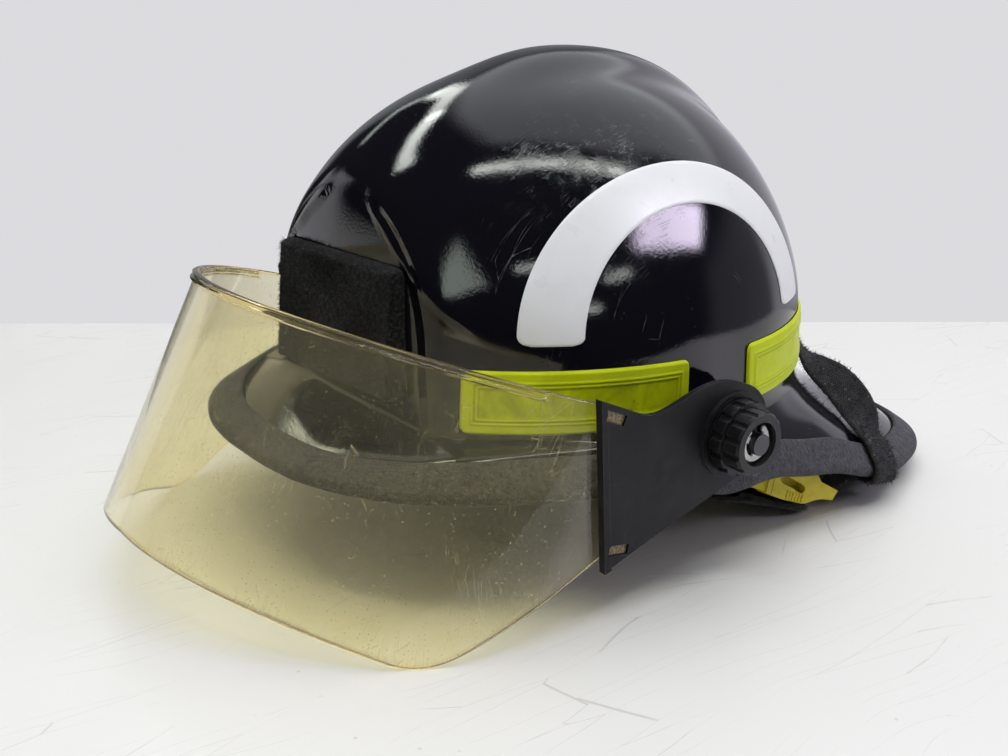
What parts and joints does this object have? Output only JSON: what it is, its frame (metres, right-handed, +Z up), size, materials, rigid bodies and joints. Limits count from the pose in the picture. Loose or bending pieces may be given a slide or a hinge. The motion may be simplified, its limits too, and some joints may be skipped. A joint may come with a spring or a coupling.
{
  "type": "fire helmet",
  "caption": "Fire helmet with a flip-down clear face shield, rear duck-tail brim, inner suspension with ratchet, cloth flap and a buckled chin strap stowed round the back.",
  "frame": {"origin": "centre of the bounding box on the surface the helmet stands on", "axes": "+X to the wearer's left, -Y to the front, +Z up"},
  "size_m": [0.273, 0.4281, 0.2114],
  "materials": {
    "shell": "gloss black, scuffed",
    "trim": "grey textured rubber",
    "liner": "rigid foam",
    "stripe": "reflective lime film, dirty",
    "film": "white reflective film",
    "pad": "fuzzy loop fabric",
    "black_plastic": "fine texture",
    "grey_plastic": "satin",
    "white_plastic": "satin",
    "foam": "padded cloth",
    "flap": "heavy black cloth",
    "webbing": "worn fuzzy webbing",
    "crown_web": "woven webbing",
    "yellow_plastic": "satin yellow",
    "steel": "brushed",
    "dark_steel": "blackened",
    "lens": "aged yellow polycarbonate"
  },
  "bodies": {
    "helmet": {"outer_shell": "shell", "edge_trim": "trim", "impact_liner": "liner", "stripe_front_left": "stripe", "stripe_front_right": "stripe", "stripe_rear_left": "stripe", "stripe_rear_right": "stripe", "side_arch_left": "film", "side_arch_right": "film", "front_pad": "pad", "pad_rivets": "black_plastic", "pivot_base_left": "black_plastic", "pivot_base_right": "black_plastic", "pivot_stud_left": "dark_steel", "pivot_stud_right": "dark_steel", "friction_washer_left": "steel", "friction_washer_right": "steel", "retaining_clip_left": "white_plastic", "retaining_clip_right": "white_plastic", "headband": "grey_plastic", "brow_pad": "foam", "nape_pad": "foam", "suspension_keys": "grey_plastic", "crown_strap_a": "crown_web", "crown_strap_b": "crown_web", "crown_strap_c": "crown_web", "crown_pad": "foam", "ratchet_housing": "grey_plastic", "ear_flap": "flap", "flap_snaps": "steel", "chin_strap": "webbing", "strap_tails": "webbing", "anchor_strap_left": "webbing", "strap_anchors": "grey_plastic", "buckle_body": "yellow_plastic"},
    "visor": {"face_shield": "lens", "shield_bracket_left": "black_plastic", "shield_bracket_right": "black_plastic"},
    "knob_left": {"pivot_knob_left": "black_plastic"},
    "knob_right": {"pivot_knob_right": "black_plastic"},
    "dial": {"ratchet_dial": "black_plastic"},
    "tail_left": {"adjuster_tail_left": "grey_plastic"},
    "tail_right": {"adjuster_tail_right": "grey_plastic"},
    "prong": {"buckle_prong": "yellow_plastic"}
  },
  "joints": [
    {"name": "visor_hinge", "type": "hinge", "parent": "helmet", "child": "visor", "pos_m": [0, -0.004, 0.0672], "axis": [-1, 0, 0], "range_deg": [0, 75]},
    {"name": "knob_left_turn", "type": "hinge", "parent": "helmet", "child": "knob_left", "pos_m": [0, -0.004, 0.0672], "axis": [1, 0, 0], "range_deg": [0, 90]},
    {"name": "knob_right_turn", "type": "hinge", "parent": "helmet", "child": "knob_right", "pos_m": [0, -0.004, 0.0672], "axis": [-1, 0, 0], "range_deg": [0, 90]},
    {"name": "dial_turn", "type": "hinge", "parent": "helmet", "child": "dial", "pos_m": [0, 0.11, 0.055], "axis": [0, 1, 0], "range_deg": [0, 180]},
    {"name": "tail_left_pull", "type": "hinge", "parent": "helmet", "child": "tail_left", "pos_m": [0, 0.029, 0.055], "axis": [0, 0, 1], "range_deg": [0, 11.6]},
    {"name": "tail_right_pull", "type": "hinge", "parent": "helmet", "child": "tail_right", "pos_m": [0, 0.029, 0.055], "axis": [0, 0, 1], "range_deg": [-11.6, 0]},
    {"name": "prong_slide", "type": "slide", "parent": "helmet", "child": "prong", "axis": [-0.2747, -0.8986, 0.342], "range_m": [0, 0.007], "deforming": ["anchor_strap_left"]}
  ],
  "couplings": [
    {"joint": "tail_left_pull", "follows": "dial_turn", "ratio": 0.0641},
    {"joint": "tail_right_pull", "follows": "dial_turn", "ratio": -0.0641}
  ]
}
